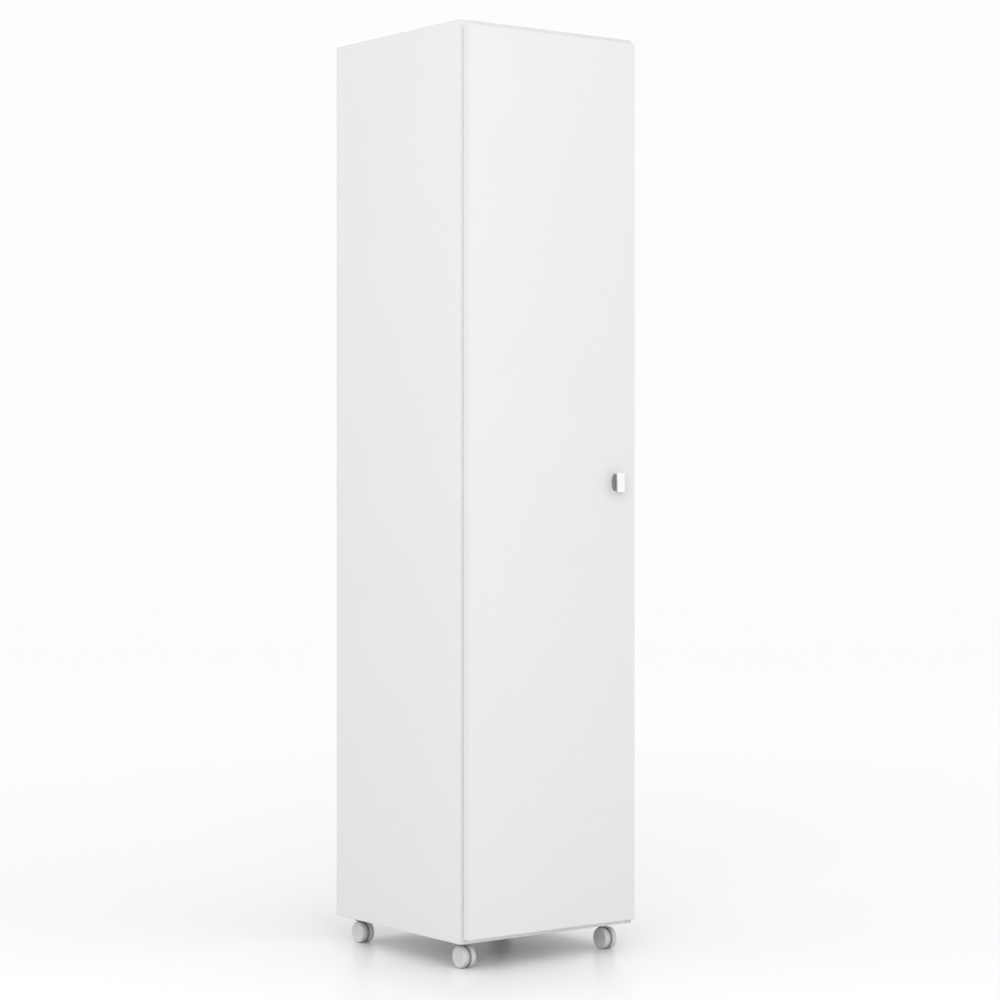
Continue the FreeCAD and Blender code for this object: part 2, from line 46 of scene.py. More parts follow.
# Shared by all the modelling, in metres and degrees. Points nearer than a merge length become one,
# faces flatter than flatUnder become one, and edges sharper than sharpOver are eased. What lies
# within touching of a plane is on it, and nearly spares a comparison from rounding.
meshing = {"mergeNew": 0.000004, "mergeCopy": 0.000002, "flatUnder": 0.5, "smoothUnder": 32,
           "sharpOver": 38, "touching": 0.0001, "nearly": 0.99}


# Small helpers for the modelling below

def clearSelection():
    if bpy.context.mode != "OBJECT":
        bpy.ops.object.mode_set(mode="OBJECT")
    bpy.ops.object.select_all(action="DESELECT")


def makeActive(piece):
    clearSelection()
    piece.select_set(True)
    bpy.context.view_layer.objects.active = piece


def startPiece(name, addPrimitive, **settings):
    clearSelection()
    addPrimitive(**settings)
    piece = bpy.context.object
    piece.name = piece.data.name = name
    bpy.ops.object.transform_apply(location=True, rotation=True, scale=True)
    return piece


def editWhole(piece):  # edit mode with all of the piece selected
    makeActive(piece)
    bpy.ops.object.mode_set(mode="EDIT")
    bpy.ops.mesh.select_all(action="SELECT")


def startSelecting(piece, kind):
    makeActive(piece)
    bpy.ops.object.mode_set(mode="EDIT")
    bpy.ops.mesh.select_mode(type=kind)
    bpy.ops.mesh.select_all(action="DESELECT")
    bpy.ops.object.mode_set(mode="OBJECT")


def selectFaces(piece, chosen):  # chosen is asked with each face's centre and normal
    startSelecting(piece, "FACE")
    for face in piece.data.polygons:
        face.select = chosen(face.center, face.normal)
    bpy.ops.object.mode_set(mode="EDIT")


def selectEdges(piece, chosen):  # chosen is asked with the edge's two ends
    startSelecting(piece, "EDGE")
    points = [vertex.co for vertex in piece.data.vertices]
    for edge in piece.data.edges:
        edge.select = chosen(*(points[i] for i in edge.vertices))
    bpy.ops.object.mode_set(mode="EDIT")


def extrudeBy(x, y, z):
    bpy.ops.mesh.extrude_region_move(TRANSFORM_OT_translate={"value": (x, y, z)})


def applyModifier(piece, kind, **settings):
    makeActive(piece)
    modifier = piece.modifiers.new(kind.lower(), kind)
    for name, value in settings.items():
        setattr(modifier, name, value)
    bpy.ops.object.modifier_apply(modifier=modifier.name)


def easeEdges(piece, width):
    applyModifier(piece, "BEVEL", width=width, segments=2, limit_method="ANGLE",
                  angle_limit=math.radians(meshing["sharpOver"]))


def copyTo(piece, name, matrix):
    twin = piece.copy()
    twin.data = piece.data.copy()
    twin.name = twin.data.name = name
    twin.data.transform(matrix)
    bpy.context.collection.objects.link(twin)
    return twin


def joinPieces(name, pieces):
    clearSelection()
    for piece in pieces:
        piece.select_set(True)
    bpy.context.view_layer.objects.active = pieces[0]
    bpy.ops.object.join()
    pieces[0].name = pieces[0].data.name = name
    return pieces[0]


# The last steps of each new piece: its doubles are merged, its faces turned outwards and smoothed,
# and it gets its finish, its body and the nodes that it stands for
def finishPiece(piece, material, body, slot, *nodes):
    editWhole(piece)
    bpy.ops.mesh.remove_doubles(threshold=meshing["mergeNew"])
    bpy.ops.mesh.normals_make_consistent(inside=False)
    bpy.ops.object.mode_set(mode="OBJECT")
    bpy.ops.object.shade_smooth_by_angle(angle=math.radians(meshing["smoothUnder"]))
    if not piece.data.materials:
        piece.data.materials.append(material)
    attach(piece, body)
    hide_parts(*nodes)


# Material helpers

mixAmount, mixFirst, mixSecond, mixResult = 0, 6, 7, 2  # a colour Mix node's sockets
millimetresPerMetre = 1000

# The noise behind every finish, the part of its range that is used, and how strong its relief is
noise = {"detail": 3.0, "roughness": 0.55, "low": 0.3, "high": 0.7, "relief": 0.6}
cloudPerGrain = 8  # a finish's clouds of colour are this many times as wide as its grain


def linear(hexText):
    channels = [int(hexText[i:i + 2], 16) / 255 for i in (1, 3, 5)]
    return [c / 12.92 if c <= 0.04045 else ((c + 0.055) / 1.055) ** 2.4 for c in channels] + [1.0]


def perMetre(millimetres):
    return millimetresPerMetre / millimetres


def addNode(tree, kind, settings=None, links=None):
    node = tree.nodes.new(kind)
    for name, value in (settings or {}).items():
        if isinstance(name, str) and hasattr(node, name):
            setattr(node, name, value)
        else:
            node.inputs[name].default_value = value
    for name, source in (links or {}).items():
        tree.links.new(source, node.inputs[name])
    return node


def startMaterial(name, settings):
    material = bpy.data.materials.new(name)
    material.use_nodes = True
    tree = material.node_tree
    shader = tree.nodes["Principled BSDF"]
    for socket, value in settings.items():
        shader.inputs[socket].default_value = value
    return material, tree, shader, addNode(tree, "ShaderNodeTexCoord").outputs


# A pattern's two colours, its roughness range and its relief in millimetres, all from noise
def mottle(tree, shader, coords, grain, colours=None, roughness=None, relief=None,
           stretch=(1, 1, 1)):
    mapped = addNode(tree, "ShaderNodeMapping", {"Scale": stretch}, {"Vector": coords["Object"]})
    amount = addNode(tree, "ShaderNodeTexNoise", {
        "Scale": perMetre(grain), "Detail": noise["detail"], "Roughness": noise["roughness"]},
        {"Vector": mapped.outputs["Vector"]}).outputs["Fac"]
    if roughness:
        spread = addNode(tree, "ShaderNodeMapRange", {
            "From Min": noise["low"], "From Max": noise["high"],
            "To Min": roughness[0], "To Max": roughness[1]}, {"Value": amount})
        tree.links.new(spread.outputs[0], shader.inputs["Roughness"])
    if relief:
        bump = addNode(tree, "ShaderNodeBump", {"Strength": noise["relief"],
                                                "Distance": relief / millimetresPerMetre},
                       {"Height": amount})
        tree.links.new(bump.outputs["Normal"], shader.inputs["Normal"])
    if colours:
        return addNode(tree, "ShaderNodeMix", {
            "data_type": "RGBA", mixFirst: linear(colours[0]), mixSecond: linear(colours[1])},
            {mixAmount: amount}).outputs[mixResult]
    return amount


# How far a point lies past a box's edges, seen along one axis: less than nothing inside them
def pastEdges(tree, coords, low, high, alongAxis):
    offset = addNode(tree, "ShaderNodeVectorMath", {
        "operation": "SUBTRACT", 1: (low + high) / 2}, {0: coords["Object"]})
    reach = addNode(tree, "ShaderNodeVectorMath", {"operation": "ABSOLUTE"},
                    {0: offset.outputs[0]})
    past = addNode(tree, "ShaderNodeVectorMath", {
        "operation": "SUBTRACT", 1: (high - low) / 2}, {0: reach.outputs[0]})
    past = addNode(tree, "ShaderNodeSeparateXYZ", links={0: past.outputs[0]}).outputs
    first, second = [past[axis] for axis in "XYZ" if axis != alongAxis]
    return addNode(tree, "ShaderNodeMath", {"operation": "MAXIMUM"},
                   {0: first, 1: second}).outputs[0]


# Melamine-faced board: printed paper pressed onto chipboard between fine pearl plates, with ABS
# bands glued round its edges. An even satin white with softly broken reflections, a hairline where
# the band meets the face, and raw chips on the rear edges of the carcass. The hairline is drawn
# 0.3 mm wide, about twice its real width, so that it shows in a close view. The door's bands are
# painted a shade greyer than the others, as painted shade on its edges. The carcass's front bands
# have painted shade where the door leaves them bare on the top and the sides, painted light where
# the door covers them, and painted light on the bottom's bare front, which lies in shade. A face
# belongs to an axis where its normal's cosine with it is over squareOn. Patterns are in
# millimetres, the band and its line in metres.
board = {"light": "#F1F1F1", "dark": "#EEEEEE", "band": "#EFEFEF", "doorBandPaintedShade": "#EDEDED",
         "frontsPaintedLightAndShade": {"top_panel": "#E1E1E1", "side_panel_left": "#E6E6E6",
                        "side_panel_right": "#E6E6E6", "bottom_panel": "#FCFCFC"},
         "coveredFrontPaintedLight": "#FCFCFC", "line": "#CFCFCF", "chip": "#B58E62", "chipDark": "#7A5836",
         "cloud": 220, "pearl": 3.0, "relief": 0.012, "roughness": (0.36, 0.44), "chipSize": 2.2,
         "bandThickness": 0.001, "lineHalf": 0.00015, "squareOn": 0.8}
boardFaces = {"side_panel_left": "X", "side_panel_right": "X", "door_panel": "Y", "hook_rail": "Y",
              "top_panel": "Z", "bottom_panel": "Z", "fixed_shelf": "Z"}


def melamineBoard(node, faceAxis):
    material, tree, shader, coords = startMaterial(
        "melamineBoard_" + node, {"IOR": 1.5, "Specular IOR Level": 0.4})
    tone = mottle(tree, shader, coords, board["cloud"], colours=(board["light"], board["dark"]))
    mottle(tree, shader, coords, board["pearl"], roughness=board["roughness"],
           relief=board["relief"])
    facing = addNode(tree, "ShaderNodeSeparateXYZ", links={0: coords["Normal"]}).outputs
    # The bands on its narrow faces
    across = addNode(tree, "ShaderNodeMath", {"operation": "ABSOLUTE"}, {0: facing[faceAxis]})
    onBand = addNode(tree, "ShaderNodeMath", {"operation": "LESS_THAN", 1: board["squareOn"]},
                     {0: across.outputs[0]}).outputs[0]
    # The door's bands are a shade greyer than the others: painted shade on the door's edges
    band = board["doorBandPaintedShade"] if node == "door_panel" else board["band"]
    tone = addNode(tree, "ShaderNodeMix", {"data_type": "RGBA", mixSecond: linear(band)},
                   {mixAmount: onBand, mixFirst: tone}).outputs[mixResult]
    if node in board["frontsPaintedLightAndShade"]:
        # Its front band, which the door covers in part: painted shade where the door leaves it bare
        # on the top and the sides, painted light where the door covers it and on the bottom's bare
        # front
        past = pastEdges(tree, coords, *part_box("door_panel"), "Y")
        bare = addNode(tree, "ShaderNodeMath", {"operation": "GREATER_THAN", 1: 0.0},
                       {0: past}).outputs[0]
        front = addNode(tree, "ShaderNodeMix", {
            "data_type": "RGBA", mixFirst: linear(board["coveredFrontPaintedLight"]),
            mixSecond: linear(board["frontsPaintedLightAndShade"][node])}, {mixAmount: bare}).outputs[mixResult]
        inFront = addNode(tree, "ShaderNodeMath", {
            "operation": "LESS_THAN", 1: -board["squareOn"]}, {0: facing["Y"]}).outputs[0]
        tone = addNode(tree, "ShaderNodeMix", {"data_type": "RGBA"}, {
            mixAmount: inFront, mixFirst: tone, mixSecond: front}).outputs[mixResult]
    # The hairline, as far in from its edges as the bands are thick
    past = pastEdges(tree, coords, *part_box(node), faceAxis)
    onLine = addNode(tree, "ShaderNodeMath", {
        "operation": "COMPARE", 1: -board["bandThickness"], 2: board["lineHalf"]},
        {0: past}).outputs[0]
    tone = addNode(tree, "ShaderNodeMix", {"data_type": "RGBA", mixSecond: linear(board["line"])},
                   {mixAmount: onLine, mixFirst: tone}).outputs[mixResult]
    if faceAxis != "Y":
        # Its rear edge, which is sawn and has no band
        chips = addNode(tree, "ShaderNodeTexVoronoi", {"Scale": perMetre(board["chipSize"])},
                        {0: coords["Object"]})
        shade = addNode(tree, "ShaderNodeSeparateColor", links={0: chips.outputs["Color"]})
        raw = addNode(tree, "ShaderNodeMix", {
            "data_type": "RGBA", mixFirst: linear(board["chip"]),
            mixSecond: linear(board["chipDark"])}, {mixAmount: shade.outputs[0]}).outputs[mixResult]
        behind = addNode(tree, "ShaderNodeMath", {
            "operation": "GREATER_THAN", 1: board["squareOn"]}, {0: facing["Y"]}).outputs[0]
        tone = addNode(tree, "ShaderNodeMix", {"data_type": "RGBA"}, {
            mixAmount: behind, mixFirst: tone, mixSecond: raw}).outputs[mixResult]
    tree.links.new(tone, shader.inputs["Base Color"])
    return material


for node, faceAxis in boardFaces.items():
    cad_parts[node].material_slots[0].material = melamineBoard(node, faceAxis)
print("boards finished")


# Hardboard: wood fibre hot-pressed to a hard brown sheet, painted white on the side that faces in.
# Mottled brown with darker fibres behind, and a flat white with a faint fibre relief inside.
backing = {"browns": ("#806648", "#9A7E5C"), "brownCloud": 60.0, "fibre": "#5A4530",
           "fibreSize": 2.0, "fibreStretch": (0.35, 1, 1), "fibreRange": (0.52, 0.75),
           "fibreShare": 0.55, "whites": ("#EDEDED", "#E9E9E9"), "whiteCloud": 120,
           "skin": 2.5, "roughness": (0.5, 0.66), "relief": 0.05, "inwardCosine": -0.5}


def hardboard():
    material, tree, shader, coords = startMaterial(
        "hardboard", {"IOR": 1.5, "Specular IOR Level": 0.3})
    cloud = mottle(tree, shader, coords, backing["brownCloud"], colours=backing["browns"])
    fibre = mottle(tree, shader, coords, backing["fibreSize"], stretch=backing["fibreStretch"])
    depth = addNode(tree, "ShaderNodeMapRange", {
        "From Min": backing["fibreRange"][0], "From Max": backing["fibreRange"][1],
        "To Min": 0.0, "To Max": backing["fibreShare"]}, {"Value": fibre}).outputs[0]
    brown = addNode(tree, "ShaderNodeMix", {
        "data_type": "RGBA", mixSecond: linear(backing["fibre"])},
        {mixAmount: depth, mixFirst: cloud}).outputs[mixResult]
    white = mottle(tree, shader, coords, backing["whiteCloud"], colours=backing["whites"])
    mottle(tree, shader, coords, backing["skin"], roughness=backing["roughness"],
           relief=backing["relief"])
    facing = addNode(tree, "ShaderNodeSeparateXYZ", links={0: coords["Normal"]}).outputs
    inward = addNode(tree, "ShaderNodeMath", {
        "operation": "LESS_THAN", 1: backing["inwardCosine"]}, {0: facing["Y"]}).outputs[0]
    colour = addNode(tree, "ShaderNodeMix", {"data_type": "RGBA"}, {
        mixAmount: inward, mixFirst: brown, mixSecond: white})
    tree.links.new(colour.outputs[mixResult], shader.inputs["Base Color"])
    return material


# Coats, plastics and metals: a grain and a relief in millimetres, two colours, a roughness range
def plainFinish(name, settings, grain, colours, roughness, relief, stretch=(1, 1, 1)):
    material, tree, shader, coords = startMaterial(name, settings)
    tone = mottle(tree, shader, coords, grain * cloudPerGrain, colours=colours, stretch=stretch)
    mottle(tree, shader, coords, grain, roughness=roughness, relief=relief, stretch=stretch)
    tree.links.new(tone, shader.inputs["Base Color"])
    return material


metal = {"Metallic": 1.0}
finishes = {
    "hardboard": hardboard(),
    # Chrome on die-cast zinc, polished: a near-white mirror with the faintest smears
    "chrome": plainFinish(
        "polishedChrome", metal, 4.0, ("#FDFDFD", "#F9F9F9"), (0.06, 0.12), 0.001),
    # The same chrome left satin on the plate's sides, its greyer colour painted shade: a grey metal
    # with dull highlights
    "satinChromePaintedShade": plainFinish(
        "satinChromePaintedShade", metal, 1.5, ("#DCDCDD", "#D0D0D1"), (0.34, 0.44), 0.006),
    # Die-cast zinc with a nickel coat behind the knob's plate, coloured a deep grey as painted
    # shade:
    # a deep grey with a dull sheen
    "nickelPaintedShade": plainFinish(
        "nickelPaintedShade", metal, 1.5, ("#87878A", "#7B7B7D"), (0.38, 0.48), 0.01),
    # Nylon, injection moulded in a spark-eroded tool: a light grey with a dull even sheen
    "nylon": plainFinish(
        "mouldedNylon", {"IOR": 1.53, "Specular IOR Level": 0.4}, 1.2, ("#E3E3E3", "#DDDDDD"),
        (0.36, 0.48), 0.01),
    # The same nylon coloured a darker grey for the body that swivels, as painted shade between the
    # wheels, with the same dull sheen
    "nylonPaintedShade": plainFinish(
        "mouldedNylonPaintedShade", {"IOR": 1.53, "Specular IOR Level": 0.4}, 1.2,
        ("#B9B9B9", "#B1B1B1"), (0.4, 0.52), 0.01),
    # Steel pressed to shape and nickel plated: a warm soft mirror with fine rolling marks
    "nickel": plainFinish(
        "nickelPlatedSteel", metal, 0.8, ("#CFCBC4", "#C5C1BA"), (0.2, 0.3), 0.002,
        stretch=(1, 1, 0.2)),
    # Steel, zinc plated and blue passivated: a cool grey metal with cloudy dull patches
    "zinc": plainFinish(
        "zincPlatedSteel", metal, 0.9, ("#C9CCD1", "#B6BAC0"), (0.3, 0.44), 0.006),
    # Zinc alloy, die cast and tumbled: a dull grey with a fine orange-peel skin
    "castZinc": plainFinish(
        "dieCastZinc", metal, 1.0, ("#B0B0B2", "#9B9B9E"), (0.42, 0.55), 0.02),
    # Beech, turned and fluted: pale pinkish brown with short darker flecks along the grain
    "beech": plainFinish(
        "turnedBeech", {"IOR": 1.5, "Specular IOR Level": 0.3}, 0.7, ("#D8B58C", "#BF946A"),
        (0.5, 0.65), 0.03, stretch=(0.12, 1, 1)),
    # Epoxy powder baked on steel: glossy white with an orange-peel skin
    "powder": plainFinish(
        "powderCoat", {"IOR": 1.5}, 1.4, ("#EEEEEE", "#EAEAEA"), (0.22, 0.3), 0.006),
    # PVC, extruded: white, with faint lines along its length
    "vinyl": plainFinish(
        "extrudedVinyl", {"IOR": 1.54, "Specular IOR Level": 0.4}, 1.0, ("#E9E9E8", "#E4E4E3"),
        (0.35, 0.45), 0.01, stretch=(0.02, 1, 1)),
    # Silicone rubber, moulded: milky and soft, with light passing through its edge
    "silicone": plainFinish(
        "mouldedSilicone", {"IOR": 1.41, "Subsurface Weight": 0.4, "Subsurface Scale": 0.002},
        1.5, ("#DEDEDC", "#D6D6D4"), (0.3, 0.42), 0.008)}

# The solids that show as they are; the modelled pieces below stand for the others
nodeFinishes = {
    "hardboard": ["back_panel_lower", "back_panel_upper"],
    "vinyl": ["back_joint_strip"],
    "beech": ["dowels"],
    "nickel": ["hinge_rivets"],
    "zinc": ["back_nails", "cam_bolts", "castor_screws", "hook_screws", "knob_screw",
             "hinge_cup_screws", "hinge_plate_screws", "hinge_adjusting_screws"]
    + ["castor_axle_" + place for place in castorPlaces]}
for finish, nodes in nodeFinishes.items():
    for node in nodes:
        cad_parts[node].material_slots[0].material = finishes[finish]
print("materials made:", len(finishes))


# Castor wheels: a round-edged moulded disc with a shallow dish outside, and a ribbed hollow inside
wheel = {"segments": 96, "cheek": 0.003, "edge": 0.0008, "lip": 0.0014, "dish": 0.0005,
         "wall": 0.0035, "hollow": 0.0045, "draft": 0.0002, "hub": 0.006, "ribEvery": 12,
         "ribDrop": 0.0012, "ease": 0.00015}


def fromAxle(point):
    return Vector(point[1:]).length


def wheelAtOrigin(radius, width):  # the outer face looks along +X
    nearly = meshing["nearly"]
    piece = startPiece("wheel", bpy.ops.mesh.primitive_cylinder_add, vertices=wheel["segments"],
                       radius=radius, depth=width, rotation=(0, math.pi / 2, 0))
    for side, size, segments in ((1, wheel["cheek"], 7), (-1, wheel["edge"], 3)):
        selectEdges(piece, lambda a, b: (min(a.x * side, b.x * side) > width / 2 * nearly
                                         and fromAxle(a) > radius * nearly))
        bpy.ops.mesh.bevel(offset=size, segments=segments, affect="EDGES")
    selectFaces(piece, lambda centre, normal: normal.x > nearly and fromAxle(centre) < radius / 2)
    bpy.ops.mesh.inset(thickness=wheel["lip"])
    bpy.ops.mesh.inset(thickness=wheel["dish"], depth=-wheel["dish"])
    bpy.ops.mesh.inset(thickness=wheel["dish"])
    selectFaces(piece, lambda centre, normal: normal.x < -nearly and fromAxle(centre) < radius / 2)
    bpy.ops.mesh.inset(thickness=wheel["wall"] - wheel["edge"])
    bpy.ops.mesh.inset(thickness=wheel["draft"], depth=-wheel["hollow"])
    bpy.ops.mesh.inset(thickness=radius - wheel["wall"] - wheel["draft"] - wheel["hub"])
    extrudeBy(-wheel["hollow"], 0, 0)  # the hub, out to the inner face again
    floorX = -width / 2 + wheel["hollow"]
    step = 2 * math.pi / wheel["segments"]

    def onRib(centre, normal):
        turn = round((math.atan2(centre.z, centre.y) / step) - 0.5) % wheel["ribEvery"]
        onFloor = abs(centre.x - floorX) < meshing["touching"]
        return turn == 0 and onFloor and fromAxle(centre) > wheel["hub"]

    selectFaces(piece, onRib)
    extrudeBy(wheel["ribDrop"] - wheel["hollow"], 0, 0)
    bpy.ops.object.mode_set(mode="OBJECT")
    easeEdges(piece, wheel["ease"])
    return piece


low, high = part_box("wheel_front_left_left")
master = wheelAtOrigin((high.z - low.z) / 2, high.x - low.x)
for place in castorPlaces:
    for hand, turn in (("left", math.pi), ("right", 0)):
        node = f"wheel_{place}_{hand}"
        low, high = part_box(node)
        matrix = Matrix.Translation((low + high) / 2) @ Matrix.Rotation(turn, 4, "Z")
        piece = copyTo(master, "castorWheel_" + place + "_" + hand, matrix)
        finishPiece(piece, finishes["nylon"], node, "castor_plastic", node)
bpy.data.objects.remove(master)
print("castor wheels modelled")


# Knob: an oblong plate with a polished front, on a waisted oval stem. An oval is the stem's width
# and height there.
knob = {"edge": 0.0006, "plateDepth": 0.004, "frontCosine": 0.6, "stemSteps": 10,
        "ovalAtPlate": (0.013, 0.032), "ovalAtWaist": (0.011, 0.031), "ovalAtDoor": (0.015, 0.033),
        # The stem's dark colours are painted shade, and its pale colour a painted reflection of the
        # door
        "stemPaintedShade": ("#7C7C7F", "#727275"), "stemPaintedReflection": "#A0A0A2", "grain": 1.5,
        "roughness": (0.38, 0.48), "relief": 0.01}
low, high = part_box("knob")
doorFront, plateBack = high.y, low.y + knob["plateDepth"]
centre = (low + high) / 2


# The stem is die-cast zinc with a nickel coat: a satin grey metal, painted darker under the plate
# as painted shade and paler towards the door as a painted reflection of the door
def stemNickelPaintedShadeAndReflection():
    material, tree, shader, coords = startMaterial("stemNickelPaintedShadeAndReflection", metal)
    dark = mottle(tree, shader, coords, knob["grain"] * cloudPerGrain, colours=knob["stemPaintedShade"])
    mottle(tree, shader, coords, knob["grain"], roughness=knob["roughness"],
           relief=knob["relief"])
    depth = addNode(tree, "ShaderNodeSeparateXYZ", links={0: coords["Object"]}).outputs["Y"]
    paintedReflectionShare = addNode(tree, "ShaderNodeMapRange", {"From Min": plateBack, "From Max": doorFront},
                     {"Value": depth})
    tone = addNode(tree, "ShaderNodeMix", {
        "data_type": "RGBA", mixSecond: linear(knob["stemPaintedReflection"])},
        {mixAmount: paintedReflectionShare.outputs[0], mixFirst: dark})
    tree.links.new(tone.outputs[mixResult], shader.inputs["Base Color"])
    return material


plate = startPiece("knobPlate", bpy.ops.mesh.primitive_cube_add, size=1,
                   location=(centre.x, (low.y + plateBack) / 2, centre.z),
                   scale=(high.x - low.x, plateBack - low.y, high.z - low.z))
editWhole(plate)
bpy.ops.mesh.bevel(offset=knob["edge"], segments=4, affect="EDGES")
bpy.ops.object.mode_set(mode="OBJECT")
# The plate's sides get a greyer chrome and its back a deep grey nickel, both painted shade
for finish in ("satinChromePaintedShade", "chrome", "nickelPaintedShade"):
    plate.data.materials.append(finishes[finish])
for slotIndex, side in ((1, -1), (2, 1)):
    selectFaces(plate, lambda centre, normal: normal.y * side > knob["frontCosine"])
    plate.active_material_index = slotIndex
    bpy.ops.object.material_slot_assign()
    bpy.ops.object.mode_set(mode="OBJECT")


def ovalAt(share):  # a parabola through the three ovals, from the plate at 0 to the door at 1
    t = 2 * share - 1
    sizes = []
    for atPlate, waist, atDoor in zip(knob["ovalAtPlate"], knob["ovalAtWaist"], knob["ovalAtDoor"]):
        end, lean = (atPlate + atDoor) / 2, (atDoor - atPlate) / 2
        sizes.append(waist + (end - waist) * t * t + lean * t)
    return sizes


stemWidth, stemHeight = ovalAt(1)
stem = startPiece("knobStem", bpy.ops.mesh.primitive_circle_add, vertices=72,
                  radius=stemHeight / 2, fill_type="NGON",
                  location=(centre.x, doorFront, centre.z), rotation=(math.pi / 2, 0, 0))
editWhole(stem)
bpy.ops.transform.resize(value=(stemWidth / stemHeight, 1, 1), center_override=centre)
for i in range(knob["stemSteps"]):
    last = ovalAt(1 - i / knob["stemSteps"])
    now = ovalAt(1 - (i + 1) / knob["stemSteps"])
    extrudeBy(0, (plateBack - doorFront) / knob["stemSteps"], 0)
    bpy.ops.transform.resize(value=(now[0] / last[0], 1, now[1] / last[1]), center_override=centre)
bpy.ops.object.mode_set(mode="OBJECT")
stem.data.materials.append(stemNickelPaintedShadeAndReflection())
piece = joinPieces("doorKnob", [plate, stem])
finishPiece(piece, finishes["nickelPaintedShade"], "door", "knob_chrome", "knob")
print("knob modelled")


# Broom hooks: a plate with a rounded rim, and a round prong in a weld collar that turns up to a
# ball. A collar step is its share of the collar's depth and the factor that it narrows by.
hook = {"places": (-0.110, 0.0, 0.110), "face": 0.2005, "back": 0.2035, "middle": 1.354,
        "width": 0.016, "height": 0.040, "corner": 0.006, "rim": 0.0008, "prong": 1.346,
        "wire": 0.0026, "root": 0.001, "reach": 0.022, "bend": 0.007, "tip": 0.009, "ball": 0.0034,
        "collar": 0.0046, "collarDepth": 0.0014,
        "collarSteps": ((0.35, 0.94), (0.3, 0.84), (0.35, 0.7))}


def hookAtMiddle():
    plate = startPiece("hookPlate", bpy.ops.mesh.primitive_cube_add, size=1,
                       location=(0, (hook["face"] + hook["back"]) / 2, hook["middle"]),
                       scale=(hook["width"], hook["back"] - hook["face"], hook["height"]))
    selectEdges(plate, lambda a, b: abs(a.y - b.y) > meshing["touching"])
    bpy.ops.mesh.bevel(offset=hook["corner"], segments=8, affect="EDGES")
    selectEdges(plate, lambda a, b: max(a.y, b.y) < hook["face"] + meshing["touching"])
    bpy.ops.mesh.bevel(offset=hook["rim"], segments=3, affect="EDGES")
    bpy.ops.object.mode_set(mode="OBJECT")
    prong = startPiece("hookProng", bpy.ops.mesh.primitive_circle_add, vertices=32,
                       radius=hook["wire"], rotation=(math.pi / 2, 0, 0),
                       location=(0, hook["face"] + hook["root"], hook["prong"]))
    editWhole(prong)
    extrudeBy(0, hook["bend"] - hook["reach"] - hook["root"], 0)
    bpy.ops.mesh.spin(steps=12, angle=math.pi / 2, axis=(1, 0, 0), center=(
        0, hook["face"] + hook["bend"] - hook["reach"], hook["prong"] + hook["bend"]))
    extrudeBy(0, 0, hook["tip"])
    bpy.ops.mesh.select_all(action="SELECT")
    bpy.ops.mesh.fill_holes(sides=0)
    bpy.ops.object.mode_set(mode="OBJECT")
    ball = startPiece("hookBall", bpy.ops.mesh.primitive_uv_sphere_add, segments=32,
                      ring_count=20, radius=hook["ball"], location=(
                          0, hook["face"] - hook["reach"],
                          hook["prong"] + hook["bend"] + hook["tip"]))
    collarPlace = (0, hook["face"], hook["prong"])
    collar = startPiece("hookCollar", bpy.ops.mesh.primitive_circle_add, vertices=32,
                        radius=hook["collar"], fill_type="NGON", location=collarPlace,
                        rotation=(math.pi / 2, 0, 0))
    editWhole(collar)
    for share, size in hook["collarSteps"]:
        extrudeBy(0, -share * hook["collarDepth"], 0)
        bpy.ops.transform.resize(value=(size, 1, size), center_override=collarPlace)
    bpy.ops.object.mode_set(mode="OBJECT")
    return joinPieces("hook", [plate, prong, ball, collar])


master = hookAtMiddle()
hooks = [copyTo(master, "hook", Matrix.Translation((x, 0, 0))) for x in hook["places"]]
bpy.data.objects.remove(master)
piece = joinPieces("broomHooks", hooks)
finishPiece(piece, finishes["powder"], "carcass", "hook_steel", "broom_hooks")
print("broom hooks modelled")


# Cam locks: die-cast discs let in flush, with an eased rim, a turned groove and a cross recess
cam = {"radius": 0.0074, "height": 0.012, "rim": 0.0004, "land": 0.0012, "groove": 0.0004,
       "slotWidth": 0.0013, "slotLength": 0.0078, "slotDepth": 0.004, "x": 0.161,
       "boardY": (-0.1095, 0.1425), "undersides": (0.050, 1.705, 1.400),
       "railPlace": (0.2035, 1.375)}


def camAtOrigin():  # its face looks down
    piece = startPiece("cam", bpy.ops.mesh.primitive_cylinder_add, vertices=64,
                       radius=cam["radius"], depth=cam["height"],
                       location=(0, 0, cam["height"] / 2))
    selectEdges(piece, lambda a, b: max(a.z, b.z) < meshing["touching"])
    bpy.ops.mesh.bevel(offset=cam["rim"], segments=3, affect="EDGES")
    selectFaces(piece, lambda centre, normal: normal.z < -meshing["nearly"])
    bpy.ops.mesh.inset(thickness=cam["land"])
    bpy.ops.mesh.inset(thickness=cam["groove"] / 2, depth=-cam["groove"])
    bpy.ops.mesh.inset(thickness=cam["groove"] / 2)
    bpy.ops.mesh.inset(thickness=cam["groove"] / 2, depth=cam["groove"])
    bpy.ops.object.mode_set(mode="OBJECT")
    length, width = cam["slotLength"], cam["slotWidth"]
    for size in ((length, width), (width, length)):
        cutter = startPiece("slotCutter", bpy.ops.mesh.primitive_cube_add, size=1,
                            scale=(*size, 2 * cam["slotDepth"]))
        applyModifier(piece, "BOOLEAN", object=cutter, operation="DIFFERENCE", solver="EXACT")
        bpy.data.objects.remove(cutter)
    return piece


master = camAtOrigin()
turned = Matrix.Rotation(-math.pi / 2, 4, "X")  # its face looks forward, out of the hook rail
cams = []
for x in (-cam["x"], cam["x"]):
    for y in cam["boardY"]:
        cams += [copyTo(master, "cam", Matrix.Translation((x, y, z))) for z in cam["undersides"]]
    cams.append(copyTo(master, "cam", Matrix.Translation((x, *cam["railPlace"])) @ turned))
bpy.data.objects.remove(master)
piece = joinPieces("camLocks", cams)
finishPiece(piece, finishes["castZinc"], "carcass", "screw_zinc", "cam_locks")
print("cam locks modelled")


